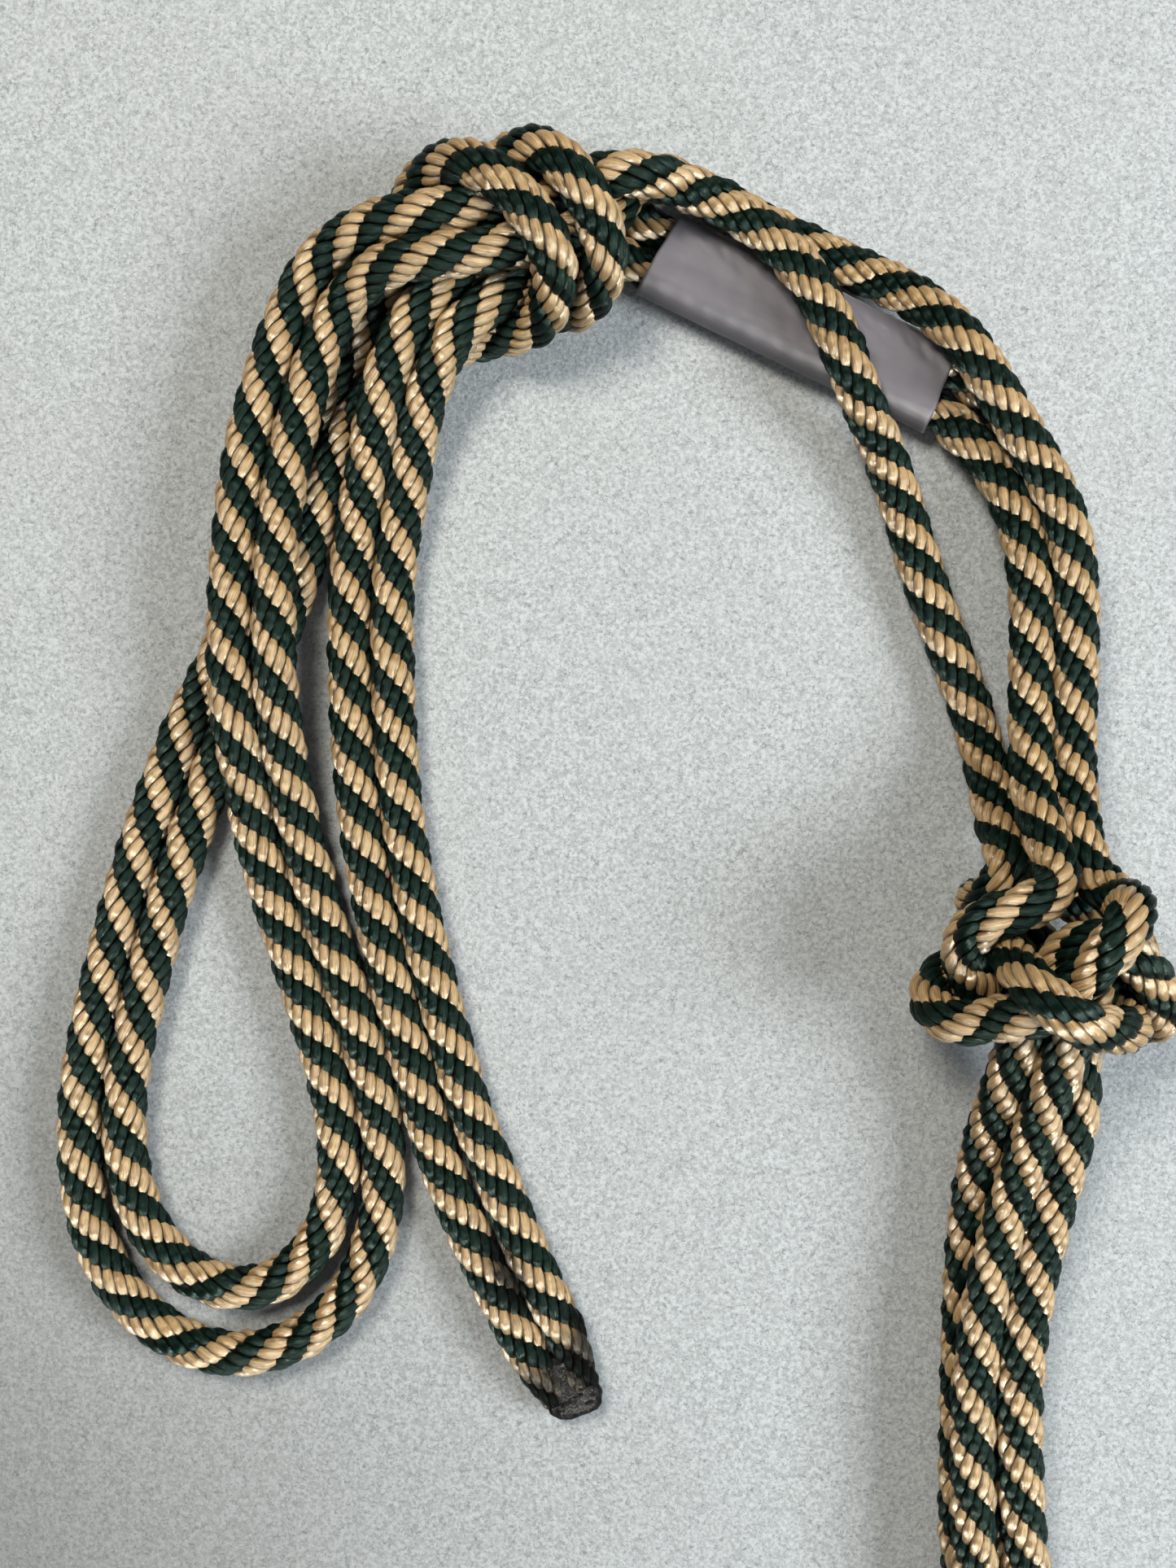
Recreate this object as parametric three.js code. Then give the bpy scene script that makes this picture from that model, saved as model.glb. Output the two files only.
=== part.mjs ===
// Rope halter laid flat: crown knot, doubled loop, fused tail, throat strands with a
// sleeve, fiador knot and doubled lead. Millimetres, +Z up, rope resting on z = 0.
import * as THREE from 'three';

// Rope
const ROPE_D = 8.1;
const TUBE_R = 3.9;
const SIDES = 8;
const FLOOR_Z = TUBE_R * Math.cos(Math.PI / SIDES);
const STEP = 2;
const RING = 6;
const KNOT_RING = 3.6;

// Sleeve round the two flat throat strands
const SLEEVE_FROM = [33.6, -2.4];
const SLEEVE_TO = [86.8, -28.2];
const SLEEVE_PITCH = 8.1;
const SLEEVE_WALL = 0.5;
const SLEEVE_CLEAR = 0.5;
const SLEEVE_Z = FLOOR_Z + SLEEVE_CLEAR + SLEEVE_WALL;
const SLEEVE_REACH = 6;

// Fiador knot: four strands woven round an axis along Y
const FIADOR = { x: 103.5, y: -135, z: 20, wide: 0.92, deep: 0.86 };
const BUNDLE_R = 5.8;

// Fused tip: where the two tail ends stop, which way they point, and the melted outline
// beyond them as [along, across]
const TIP_AT = [11.2, -207.5];
const TIP_AIM = -62.6;
const TIP_HIGH = 6.6;
const TIP_BEVEL = 1.2;
const TIP_OUTLINE = [
  [1.6, -6.6], [1.6, 6.6], [6, 6.2], [10.5, 5], [14.6, 3.4], [15.2, 1], [14.6, -2.4], [12, -4.2],
  [7, -5.8],
];

const GREEN = 0x16342c;
const TAN = 0xc49a62;
const SLEEVE_GREY = 0x756e74;
const CHAR = 0x1a1611;

// One strand of the fiador: degrees on from where it enters, radius, distance down the axis
const FIADOR_STRAND = [
  [0, BUNDLE_R, -21],
  [-6, BUNDLE_R, -16],
  [-14, 7, -13],
  [-10, 10.5, -11.5],
  [4, 13.5, -11.5],
  [22, 15.8, -11.5],
  [42, 17.8, -9.5],
  [60, 19, -6],
  [76, 18, -1.5],
  [92, 15, 3],
  [110, 11.8, 6.5],
  [132, 13, 9.5],
  [155, 15.5, 10.5],
  [176, 18, 9],
  [198, 19.2, 5],
  [220, 17, 0.5],
  [242, 12.5, -2.5],
  [265, 10.8, -3.8],
  [288, 8.8, -2.3],
  [312, 7, 1.5],
  [338, BUNDLE_R, 8],
  [360, BUNDLE_R, 21],
];

function fiadorStrand(enterDeg) {
  return FIADOR_STRAND.map(([turn, r, down]) => {
    const a = THREE.MathUtils.degToRad(enterDeg + turn);
    return [
      FIADOR.x + FIADOR.wide * r * Math.cos(a),
      FIADOR.y - down,
      FIADOR.z + FIADOR.deep * r * Math.sin(a),
    ];
  });
}

// A straight run inside the sleeve, to one side of its centreline
function sleeveRun(side) {
  const from = new THREE.Vector2(...SLEEVE_FROM);
  const to = new THREE.Vector2(...SLEEVE_TO);
  const along = to.clone().sub(from).normalize();
  const across = new THREE.Vector2(-along.y, along.x).multiplyScalar(side * SLEEVE_PITCH / 2);
  const length = from.distanceTo(to);
  const points = [];
  const steps = 10;
  for (let i = 0; i <= steps; i += 1) {
    const s = -SLEEVE_REACH + (length + 2 * SLEEVE_REACH) * i / steps;
    const p = from.clone().addScaledVector(along, s).add(across);
    points.push([p.x, p.y, SLEEVE_Z]);
  }
  return points;
}

// Guide points of every leg, [x, y, height of the centreline]
const TAIL_LEFT = [
  [7.6, -209.4, 4], [1.6, -197.5, 4], [-3.5, -187, 4], [-8.5, -175, 4], [-13.2, -160, 4],
  [-17.5, -141, 4], [-20.5, -126.5, 4], [-24, -106.5, 4], [-25.2, -86.5, 4], [-25.5, -64, 4],
  [-23.5, -48, 5], [-20, -34, 9], [-16, -22.5, 13], [-11, -13, 14], [-4.5, -6.5, 12],
  [4, -3.5, 11], [14, 0, 11], [22, 2.8, 8.5],
];
const TAIL_RIGHT = [
  [14.8, -205.6, 4], [9.2, -194.6, 4], [5.2, -184.5, 4], [0.5, -172.5, 4], [-4.8, -160, 4],
  [-9.5, -141, 4], [-12.5, -126.5, 4], [-16, -106.5, 4], [-17, -86.5, 4], [-17.5, -64, 4],
  [-15.5, -48, 5], [-12.5, -34, 8], [-9.5, -25, 12], [-5.5, -18, 14], [0.5, -12.5, 13],
  [8, -9.5, 11], [15, -7.2, 10], [21, -4.5, 8],
];
const LOOP_INNER = [
  [24, 6, 17], [15.5, 3.5, 19], [7.5, 2.5, 20], [-0.5, 2, 20], [-10, 1.2, 20],
  [-19, -0.1, 17.5], [-26, -1.6, 14.5], [-30.5, -4, 13], [-33.4, -8, 12.5], [-34.6, -14, 12],
  [-36.5, -20.5, 12], [-39, -26.5, 12], [-41.5, -33, 12], [-43.5, -42, 12], [-45.6, -54, 12],
  [-46.5, -68, 12], [-47, -87, 11],
  [-44.5, -106.5, 6], [-39.5, -126.5, 4], [-34, -143, 4], [-29.5, -154, 4], [-27, -165.5, 4],
  [-26.5, -177, 4], [-28.5, -188, 4], [-34, -196, 4], [-44.5, -201.5, 4], [-54, -199, 4],
  [-62, -192, 4], [-66.5, -184.5, 4], [-68.5, -175, 4], [-69, -165.5, 4], [-67.5, -154, 4],
  [-64.5, -143, 4], [-60.5, -126.5, 4], [-53.5, -106.5, 4], [-46, -88, 4], [-40, -76, 4],
  [-35.5, -64, 4], [-33.5, -56, 4], [-30.5, -46, 4], [-26, -34, 4], [-18, -24, 4],
];
const WRAP = [
  [-10, -20.5, 4], [-3, -18, 4], [4, -17, 4.5], [9.5, -17, 7], [13, -16.2, 12], [15, -14, 18],
  [15.6, -10.5, 23.5], [14.2, -6.5, 26.5], [11.6, -2, 28], [7.8, 2.6, 28], [3.2, 6.2, 27],
  [-2.4, 8, 24], [-8, 7.6, 19], [-12.5, 5, 13], [-14.5, 0.5, 7.5], [-13.5, -4.5, 4.5],
  [-8.5, -8, 4], [-2, -9.3, 4], [5, -9.8, 4], [11.5, -11, 4], [17, -13, 5.5], [21, -14, 10],
  [23.6, -12.8, 15.5], [24.8, -9.6, 20.5], [24.4, -5.5, 24], [22.9, -1, 25.5], [20.4, 3.8, 26],
  [16.3, 8.2, 25.5], [11.5, 11.6, 23.5], [6.6, 13.2, 19], [2.5, 12, 14], [-1.5, 8.5, 12],
  [-6.5, 3.5, 12], [-12, -2, 11.5], [-17, -8, 9], [-22, -15, 5.5], [-27, -23, 5],
];
const LOOP_OUTER = [
  [-31.5, -32, 4.5], [-36, -44, 4], [-41, -60, 4], [-48, -76, 4], [-56, -92, 4],
  [-62.5, -106.5, 4], [-69, -126.5, 4], [-73, -143, 4], [-75.8, -154, 4], [-77.2, -165.5, 4],
  [-77.2, -174, 4], [-76, -185, 4], [-72.5, -195.5, 4], [-65, -205, 4], [-55.5, -211.5, 4],
  [-44.5, -213, 4], [-33, -209, 4], [-23.5, -200, 4], [-19.5, -189, 4], [-18.2, -177, 4],
  [-18.7, -165.5, 4], [-21.3, -154, 4], [-25.5, -143, 4], [-31, -126.5, 4], [-35.8, -106.5, 6],
  [-38.4, -87, 11], [-38.4, -68, 12], [-37.8, -55.5, 12], [-36.4, -44.5, 12], [-34.4, -34, 12],
  [-31.6, -25, 11], [-27.6, -17, 11], [-24.4, -10, 13], [-18.6, -6.6, 17], [-12, -5.8, 19.5],
  [-4, -5.4, 20.5], [7, -5, 20.5], [16, -4, 19], [23, 0, 15], [28, 6.5, 10], [34, 8.5, 6],
];
const THROAT_A = [
  [96, -117, 16], [96.5, -106.5, 8], [94.5, -93, 4], [90, -80, 4], [84.5, -66.5, 4],
  [78, -44, 5], [74, -36.5, 8], [70, -29.5, 12], [67.5, -23, 13], [64.5, -16.5, 13],
  [62, -9.5, 13], [58, -4.5, 13], [52.5, 0.5, 13], [47, 4.5, 13], [39.5, 7.5, 13.5], [31.5, 8, 15],
];
const THROAT_B = [
  [40, 8.5, 4.5], [50, 5, 4], [58, 1.2, 4], [65, -2.4, 4.5], [71, -5.8, 5], [76, -8.8, 6],
  [80.5, -12.3, 8], [85, -16.2, 10.5], [88.6, -19.9, 12.5], [91.9, -24.2, 13], [95.2, -29.6, 13],
  [98.6, -35.4, 12.5], [102.2, -41, 12.5], [106, -48, 12.5], [109, -56, 12], [110.8, -66, 12],
  [111, -75, 11], [110.5, -86, 11], [109.5, -102, 12],
  [109, -114, 18],
];
const THROAT_C = [
  [100.5, -114.5, 22], [101.5, -102, 14], [102.5, -84.5, 11], [103, -72, 11],
  [103.2, -62.5, 11], [103, -53.5, 10], [100.5, -46.5, 8], [96, -39.5, 5],
];
const THROAT_D = [
  [98.5, -31, 4], [102.5, -37.5, 4], [105.8, -46, 4], [108.3, -55, 4], [108.5, -66, 4],
  [108, -84, 4], [106, -100, 5], [104, -112, 11],
];
// Below the fiador: the upper pair ends in a long bight, the lower pair in a shorter one
const LEAD_TOP = [
  [103, -158, 21], [100.5, -171, 16], [97.5, -181.5, 13], [95, -192, 12], [93, -201.5, 12],
  [91.8, -211.5, 12], [91, -224.5, 12], [91.5, -237.5, 12], [92, -250, 12], [91, -262, 11],
  [92, -270, 9], [97, -274, 8],
];
const LEAD_RIGHT = [
  [102.5, -270, 9], [103.5, -262, 11], [101.5, -250, 12], [100.5, -237, 12], [100, -224, 12],
  [100, -211.5, 12], [101.5, -201.5, 12], [103.2, -192, 12], [105.5, -182, 12.5],
  [108.5, -172, 14], [109.5, -160, 18],
];
const LEAD_LEFT = [
  [96, -159, 16], [94, -170, 9], [93, -180, 5], [92, -190, 4], [91.5, -205, 4], [91, -222, 4],
  [91, -238, 4], [90, -250, 4], [92, -258, 4], [97, -261, 4],
];
const LEAD_UNDER = [
  [102, -257.5, 4], [103, -249, 4], [101, -237, 4], [100, -222, 4], [100.5, -205, 4],
  [102, -190, 4], [103.5, -175, 5], [103.7, -160, 11],
];

const reversed = (leg) => leg.slice().reverse();

// The whole halter is one rope: from the tail's left end round to its right end
const GUIDE = [
  ...TAIL_LEFT, ...sleeveRun(1), ...THROAT_D, ...fiadorStrand(270), ...reversed(LEAD_UNDER),
  ...reversed(LEAD_LEFT), ...reversed(fiadorStrand(180)), ...THROAT_A, ...LOOP_INNER, ...WRAP,
  ...LOOP_OUTER, ...THROAT_B, ...fiadorStrand(0), ...reversed(LEAD_RIGHT), ...reversed(LEAD_TOP),
  ...reversed(fiadorStrand(90)), ...THROAT_C, ...reversed(sleeveRun(-1)), ...reversed(TAIL_RIGHT),
];

function resample(points, step) {
  const curve = new THREE.CatmullRomCurve3(points, false, 'centripetal');
  curve.arcLengthDivisions = points.length * 20;
  const count = Math.round(curve.getLength() / step);
  return curve.getSpacedPoints(count);
}

// Puts a point that lies within the sleeve's reach exactly on its straight run, and says so
function holdStraight(p) {
  const from = new THREE.Vector3(...SLEEVE_FROM, SLEEVE_Z);
  const along = new THREE.Vector3(...SLEEVE_TO, SLEEVE_Z).sub(from);
  const length = along.length();
  along.normalize();
  const offset = p.clone().sub(from);
  const s = offset.dot(along);
  const across = offset.addScaledVector(along, -s);
  if (s < -SLEEVE_REACH || s > length + SLEEVE_REACH || across.length() > SLEEVE_PITCH * 0.65) {
    return false;
  }
  across.z = 0;
  p.copy(from).addScaledVector(along, s).add(across.setLength(SLEEVE_PITCH / 2));
  return true;
}

// Lets the passes press each other apart until no two centrelines are nearer than one rope
function settle(rope, guides, held, rounds, pull, bend) {
  const apart = Math.ceil(13 / STEP);
  let near = [];
  for (let round = 0; round < rounds; round += 1) {
    if (round % 10 === 0) {
      near = [];
      for (let i = 0; i < rope.length; i += 1) {
        for (let j = i + apart; j < rope.length; j += 1) {
          if (rope[i].distanceToSquared(rope[j]) < 169) {
            near.push([i, j]);
          }
        }
      }
    }
    const old = rope.map((p) => p.clone());
    for (let i = 1; i < rope.length - 1; i += 1) {
      if (!held[i]) {
        const middle = old[i - 1].clone().add(old[i + 1]).multiplyScalar(0.5);
        rope[i].lerp(middle, bend);
        rope[i].lerp(guides[i], pull);
      }
    }
    for (const [i, j] of near) {
      const between = rope[j].clone().sub(rope[i]);
      const gap = between.length();
      const wanted = held[i] !== held[j] ? ROPE_D + SLEEVE_WALL + SLEEVE_CLEAR + 0.3 : ROPE_D;
      if (gap < wanted && !(held[i] && held[j])) {
        between.multiplyScalar((wanted - gap) / Math.max(gap, 0.01));
        const share = held[i] ? 1 : held[j] ? 0 : 0.5;
        rope[j].addScaledVector(between, share);
        rope[i].addScaledVector(between, share - 1);
      }
    }
    for (const p of rope) {
      p.z = Math.max(p.z, FLOOR_Z);
    }
  }
}

const guides = resample(GUIDE.map((p) => new THREE.Vector3(...p)), STEP);
const held = guides.map(holdStraight);
const rope = guides.map((p) => p.clone());
settle(rope, guides, held, 240, 0.02, 0.3);
settle(rope, guides, held, 60, 0, 0.12);
settle(rope, guides, held, 40, 0, 0.02);

// The pieces in order along the rope, each with the place where it stops
const PIECES = [
  ['tail_lower_left', [-13, -160, 4]],
  ['tail_mid_left', [-25, -92, 4]],
  ['tail_upper_left', [-19, -31, 10]],
  ['crown_strand_d', [26, 2.5, 7]],
  ['throat_upper_d', [108.5, -58, 4]],
  ['throat_lower_d', [103.5, -113, 12]],
  ['fiador_strand_d', [103.6, -157, 13]],
  ['lead_upper_d', [100.3, -215, 4]],
  ['lead_bight_short', [91.3, -215, 4]],
  ['lead_upper_a', [97, -157, 17]],
  ['fiador_strand_a', [97.5, -113, 18]],
  ['throat_lower_a', [82, -58, 4]],
  ['throat_upper_a', [28, 8.5, 16]],
  ['crown_strand_a', [-33, -4.5, 13]],
  ['loop_upper_inner', [-39, -128, 4]],
  ['loop_lower_inner', [-61, -128, 4]],
  ['loop_return_inner', [-25, -33, 4]],
  ['crown_wrap', [-30, -28, 5]],
  ['loop_return_outer', [-69.4, -128, 4]],
  ['loop_lower_outer', [-30.5, -128, 4]],
  ['loop_upper_outer', [-28.5, -14, 11]],
  ['crown_strand_b', [29, 7.5, 9]],
  ['throat_upper_b', [110.2, -58, 12]],
  ['throat_lower_b', [109.2, -113, 18]],
  ['fiador_strand_b', [109.3, -157, 18]],
  ['lead_upper_b', [100, -215, 12]],
  ['lead_bight_long', [91.8, -215, 12]],
  ['lead_upper_c', [103, -157, 22]],
  ['fiador_strand_c', [101, -113, 23]],
  ['throat_lower_c', [103, -58, 11]],
  ['throat_upper_c', [25.5, -4.5, 6]],
  ['crown_strand_c', [-11.5, -31, 9]],
  ['tail_upper_right', [-17, -92, 4]],
  ['tail_mid_right', [-5, -160, 4]],
  ['tail_lower_right', null],
];

// The rope point nearest to a place, after the one where the last piece stopped
function stopAt(place, after) {
  if (!place) {
    return rope.length;
  }
  const target = new THREE.Vector3(...place);
  let best = after + 1;
  for (let i = after + 1; i < Math.min(rope.length, after + 320); i += 1) {
    if (rope[i].distanceTo(target) < rope[best].distanceTo(target)) {
      best = i;
    }
  }
  return best;
}

const group = new THREE.Group();
group.name = 'rope_halter';

function addMesh(name, geometry, color, roughness) {
  const material = new THREE.MeshStandardMaterial({ color, roughness, metalness: 0 });
  const mesh = new THREE.Mesh(geometry, material);
  mesh.name = name;
  group.add(mesh);
  return mesh;
}

const section = new THREE.Shape();
for (let i = 0; i < SIDES; i += 1) {
  const a = 2 * Math.PI * (i + 0.5) / SIDES;
  const corner = [TUBE_R * Math.cos(a), TUBE_R * Math.sin(a)];
  if (i === 0) {
    section.moveTo(...corner);
  } else {
    section.lineTo(...corner);
  }
}

let start = -1;
PIECES.forEach(([name, place], index) => {
  const stop = stopAt(place, start);
  const path = new THREE.CatmullRomCurve3(rope.slice(start + 1, stop));
  path.arcLengthDivisions = 1000;
  const ring = /crown|fiador|bight/.test(name) ? KNOT_RING : RING;
  const geometry = new THREE.ExtrudeGeometry(section, {
    steps: Math.ceil(path.getLength() / ring),
    extrudePath: path,
  });
  addMesh(name, geometry, index % 2 ? TAN : GREEN, 0.55);
  start = stop;
});

// Sleeve: a flat tube with round edges, drawn on over the two straight strands
function stadium(shape, grow) {
  const r = FLOOR_Z + grow;
  const half = SLEEVE_PITCH / 2;
  shape.moveTo(-half, -r);
  shape.lineTo(half, -r);
  shape.absarc(half, 0, r, -Math.PI / 2, Math.PI / 2);
  shape.lineTo(-half, r);
  shape.absarc(-half, 0, r, Math.PI / 2, 3 * Math.PI / 2);
  return shape;
}

const sleeveShape = stadium(new THREE.Shape(), SLEEVE_CLEAR + SLEEVE_WALL);
sleeveShape.holes.push(stadium(new THREE.Path(), SLEEVE_CLEAR));
const sleeveSpan = new THREE.Vector2(...SLEEVE_TO).sub(new THREE.Vector2(...SLEEVE_FROM));
const sleeve = addMesh('label_sleeve', new THREE.ExtrudeGeometry(sleeveShape, {
  depth: sleeveSpan.length(),
  curveSegments: 8,
  bevelEnabled: false,
}), SLEEVE_GREY, 0.35);
sleeve.rotation.set(Math.PI / 2, Math.PI / 2 + sleeveSpan.angle(), 0, 'ZXY');
sleeve.position.set(...SLEEVE_FROM, SLEEVE_Z);

// Fused tip
const tipShape = new THREE.Shape(TIP_OUTLINE.map((p) => new THREE.Vector2(...p)));
const tip = addMesh('tail_fused_tip', new THREE.ExtrudeGeometry(tipShape, {
  depth: TIP_HIGH - 2 * TIP_BEVEL,
  bevelThickness: TIP_BEVEL,
  bevelSize: TIP_BEVEL,
  bevelSegments: 2,
}), CHAR, 0.4);
tip.rotation.z = THREE.MathUtils.degToRad(TIP_AIM);
tip.position.set(...TIP_AT, TIP_BEVEL);

// The part's origin is the middle of its footprint, on the plane it rests on
const box = new THREE.Box3().setFromObject(group);
const middle = box.getCenter(new THREE.Vector3()).setZ(box.min.z);
group.children.forEach((mesh) => mesh.position.sub(middle));

export default group;
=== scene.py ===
import math

import bpy
import numpy as np
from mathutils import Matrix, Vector


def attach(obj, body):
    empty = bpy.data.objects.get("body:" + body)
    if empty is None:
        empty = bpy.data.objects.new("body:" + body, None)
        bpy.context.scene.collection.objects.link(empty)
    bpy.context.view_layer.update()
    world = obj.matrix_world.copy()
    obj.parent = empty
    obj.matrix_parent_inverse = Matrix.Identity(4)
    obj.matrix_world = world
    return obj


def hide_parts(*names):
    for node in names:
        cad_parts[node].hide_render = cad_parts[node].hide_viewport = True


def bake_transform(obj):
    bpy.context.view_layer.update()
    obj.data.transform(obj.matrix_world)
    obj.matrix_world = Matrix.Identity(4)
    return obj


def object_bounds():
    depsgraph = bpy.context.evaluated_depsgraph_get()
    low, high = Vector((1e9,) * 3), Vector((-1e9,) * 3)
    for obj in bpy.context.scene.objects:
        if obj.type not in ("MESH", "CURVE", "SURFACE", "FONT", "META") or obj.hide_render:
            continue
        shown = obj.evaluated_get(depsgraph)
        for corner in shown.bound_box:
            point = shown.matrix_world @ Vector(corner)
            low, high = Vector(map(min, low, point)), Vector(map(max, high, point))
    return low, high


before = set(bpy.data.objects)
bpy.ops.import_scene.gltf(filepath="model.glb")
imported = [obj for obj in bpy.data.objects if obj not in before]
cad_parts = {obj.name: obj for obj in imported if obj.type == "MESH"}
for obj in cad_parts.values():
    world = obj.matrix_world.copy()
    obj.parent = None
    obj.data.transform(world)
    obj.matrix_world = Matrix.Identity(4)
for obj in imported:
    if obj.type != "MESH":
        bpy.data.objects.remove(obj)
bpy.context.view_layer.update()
MM = 0.001

# ---------------------------------------------------------------- rope measures, mm
ROPE_R = 3.36          # radius at the middle of a stitch's thickness
STITCH_THICK = 1.04    # half thickness
STITCH_WIDE = 1.06     # half width
STITCH_LONG = 3.75     # half length
STITCH_TILT = 0.30     # lean of a stitch across the rope, rise over run
CORE_R = 2.85
COLUMNS = 14
ROW = 6.0              # stitch to stitch along one column
STARTS = 4             # rows that a chain climbs in one turn
SAMPLE = 0.5           # sample to sample along the centreline
SMOOTHING = 2          # passes over its direction

# The rope's pieces in order, from the tail's left end round to its right end
CHAIN = [
    "tail_lower_left", "tail_mid_left", "tail_upper_left", "crown_strand_d",
    "throat_upper_d", "throat_lower_d", "fiador_strand_d", "lead_upper_d",
    "lead_bight_short", "lead_upper_a", "fiador_strand_a", "throat_lower_a",
    "throat_upper_a", "crown_strand_a", "loop_upper_inner", "loop_lower_inner",
    "loop_return_inner", "crown_wrap", "loop_return_outer", "loop_lower_outer",
    "loop_upper_outer", "crown_strand_b", "throat_upper_b", "throat_lower_b",
    "fiador_strand_b", "lead_upper_b", "lead_bight_long", "lead_upper_c",
    "fiador_strand_c", "throat_lower_c", "throat_upper_c", "crown_strand_c",
    "tail_upper_right", "tail_mid_right", "tail_lower_right",
]


def unit(v):
    """The vector v at length 1."""
    return v / np.linalg.norm(v)


# ---------------------------------------------------------------- centreline
# What tells an end ring of a CAD tube from the rest of its points, mm
TUBE_SIDES = 8
SAME_POINT = 0.02      # points closer than this are one point
CAP_FLAT = 0.04        # how far its points may stand off their plane
CAP_WIDE = 8.5         # no two of its points are further apart
CAP_ROUND = 0.1        # how much their distances from the middle may differ


def welded(me):
    """A mesh's different points in mm, and for each of its vertices the number of its point."""
    co = np.empty(len(me.vertices) * 3)
    me.vertices.foreach_get("co", co)
    co = co.reshape(-1, 3) / MM
    points, index = np.unique(np.round(co, 3), axis=0, return_inverse=True)
    apart = np.linalg.norm(points[:, None] - points[None], axis=2)
    return points, np.argmax(apart < SAME_POINT, axis=1)[index.reshape(-1)]


def layers(first, touching):
    """The points in layers: some first ones, their neighbours, the neighbours of those, and so on."""
    seen, layer, out = set(first), set(first), [sorted(first)]
    while True:
        layer = {n for v in layer for n in touching[v]} - seen
        if not layer:
            return out
        seen |= layer
        out.append(sorted(layer))


def ring_centres(node):
    """Centres of the rings of a CAD tube, from one end to the other, in mm."""
    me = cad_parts[node].data
    points, index = welded(me)
    used = np.isin(np.arange(len(points)), index)
    corners = [[int(index[v]) for v in poly.vertices] for poly in me.polygons]
    touching = [set() for _ in points]
    for ids in corners:
        for a in ids:
            touching[a].update(ids)
    far = layers([int(index[0])], touching)[-1][0]
    for ids in corners:
        if far not in ids:
            continue
        n = unit(np.cross(points[ids[1]] - points[ids[0]], points[ids[2]] - points[ids[0]]))
        flat = np.abs((points - points[far]) @ n) < CAP_FLAT
        near = np.linalg.norm(points - points[far], axis=1) < CAP_WIDE
        cap = np.flatnonzero(flat & near & used)
        if len(cap) != TUBE_SIDES:
            continue
        reach = np.linalg.norm(points[cap] - points[cap].mean(0), axis=1)
        if np.ptp(reach) < CAP_ROUND:
            return np.array([points[ring].mean(0) for ring in layers(list(cap), touching)])
    raise RuntimeError("no end ring on " + node)


def joined_centreline():
    """One polyline through every piece, and for each piece the span of its own points."""
    runs = [ring_centres(node) for node in CHAIN]
    gaps = [min(np.linalg.norm(runs[1][[0, -1]] - end, axis=1)) for end in (runs[0][0], runs[0][-1])]
    if gaps[0] < gaps[1]:
        runs[0] = runs[0][::-1]
    for i in range(1, len(runs)):
        last = runs[i - 1][-1]
        if np.linalg.norm(runs[i][-1] - last) < np.linalg.norm(runs[i][0] - last):
            runs[i] = runs[i][::-1]
    spans, at = [], 0
    for run in runs:
        spans.append((at, at + len(run) - 1))
        at += len(run)
    return np.concatenate(runs), spans


def spline(points, per=12):
    """Centripetal Catmull-Rom through the points; also the sample index of each point."""
    p = np.vstack([2 * points[0] - points[1], points, 2 * points[-1] - points[-2]])
    out = []
    for i in range(1, len(p) - 2):
        a, b, c, d = p[i - 1:i + 3]
        t0 = 0.0
        t1 = t0 + math.sqrt(np.linalg.norm(b - a))
        t2 = t1 + math.sqrt(np.linalg.norm(c - b))
        t3 = t2 + math.sqrt(np.linalg.norm(d - c))
        t = np.linspace(t1, t2, per, endpoint=False)[:, None]
        a1 = (t1 - t) / (t1 - t0) * a + (t - t0) / (t1 - t0) * b
        a2 = (t2 - t) / (t2 - t1) * b + (t - t1) / (t2 - t1) * c
        a3 = (t3 - t) / (t3 - t2) * c + (t - t2) / (t3 - t2) * d
        b1 = (t2 - t) / (t2 - t0) * a1 + (t - t0) / (t2 - t0) * a2
        b2 = (t3 - t) / (t3 - t1) * a2 + (t - t1) / (t3 - t1) * a3
        out.append((t2 - t) / (t2 - t1) * b1 + (t - t1) / (t2 - t1) * b2)
    out.append(p[-2][None])
    return np.concatenate(out), np.arange(len(points)) * per


def mirrored(a, v):
    """The vector a, mirrored in the plane at right angles to v."""
    return a - 2 * v * (v @ a) / max(v @ v, 1e-12)


class Rope:
    """The centreline with a frame that doesn't twist, looked up by length along it."""

    def __init__(self, points, marks):
        lengths = np.linalg.norm(np.diff(points, axis=0), axis=1)
        raw = np.concatenate([[0], np.cumsum(lengths)])
        self.length = raw[-1]
        self.s = np.arange(0, self.length, SAMPLE)
        self.c = np.stack([np.interp(self.s, raw, points[:, k]) for k in range(3)], 1)
        self.marks = raw[marks]
        t = np.gradient(self.c, self.s, axis=0)
        for _ in range(SMOOTHING):
            t[1:-1] = (t[:-2] + 2 * t[1:-1] + t[2:]) / 4
        self.t = t / np.linalg.norm(t, axis=1)[:, None]
        n = np.empty_like(self.t)
        n[0] = unit(np.cross(self.t[0], [0, 0, 1.0]))
        for i in range(1, len(n)):
            step = self.c[i] - self.c[i - 1]
            turn = self.t[i] - mirrored(self.t[i - 1], step)
            r = mirrored(mirrored(n[i - 1], step), turn)
            r -= self.t[i] * (r @ self.t[i])
            n[i] = unit(r)
        self.n = n
        self.b = np.cross(self.t, n)

    def at(self, s, values):
        """One of the sampled quantities (centre or frame vector) at lengths s along the rope."""
        return np.stack([np.interp(s, self.s, values[:, k]) for k in range(3)], -1)

    def place(self, s, angle, r):
        """Points at lengths s, at an angle round the centreline and a distance r from it."""
        c, n, b = (self.at(s, v) for v in (self.c, self.n, self.b))
        return c + r[..., None] * (np.cos(angle)[..., None] * n + np.sin(angle)[..., None] * b)


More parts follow.
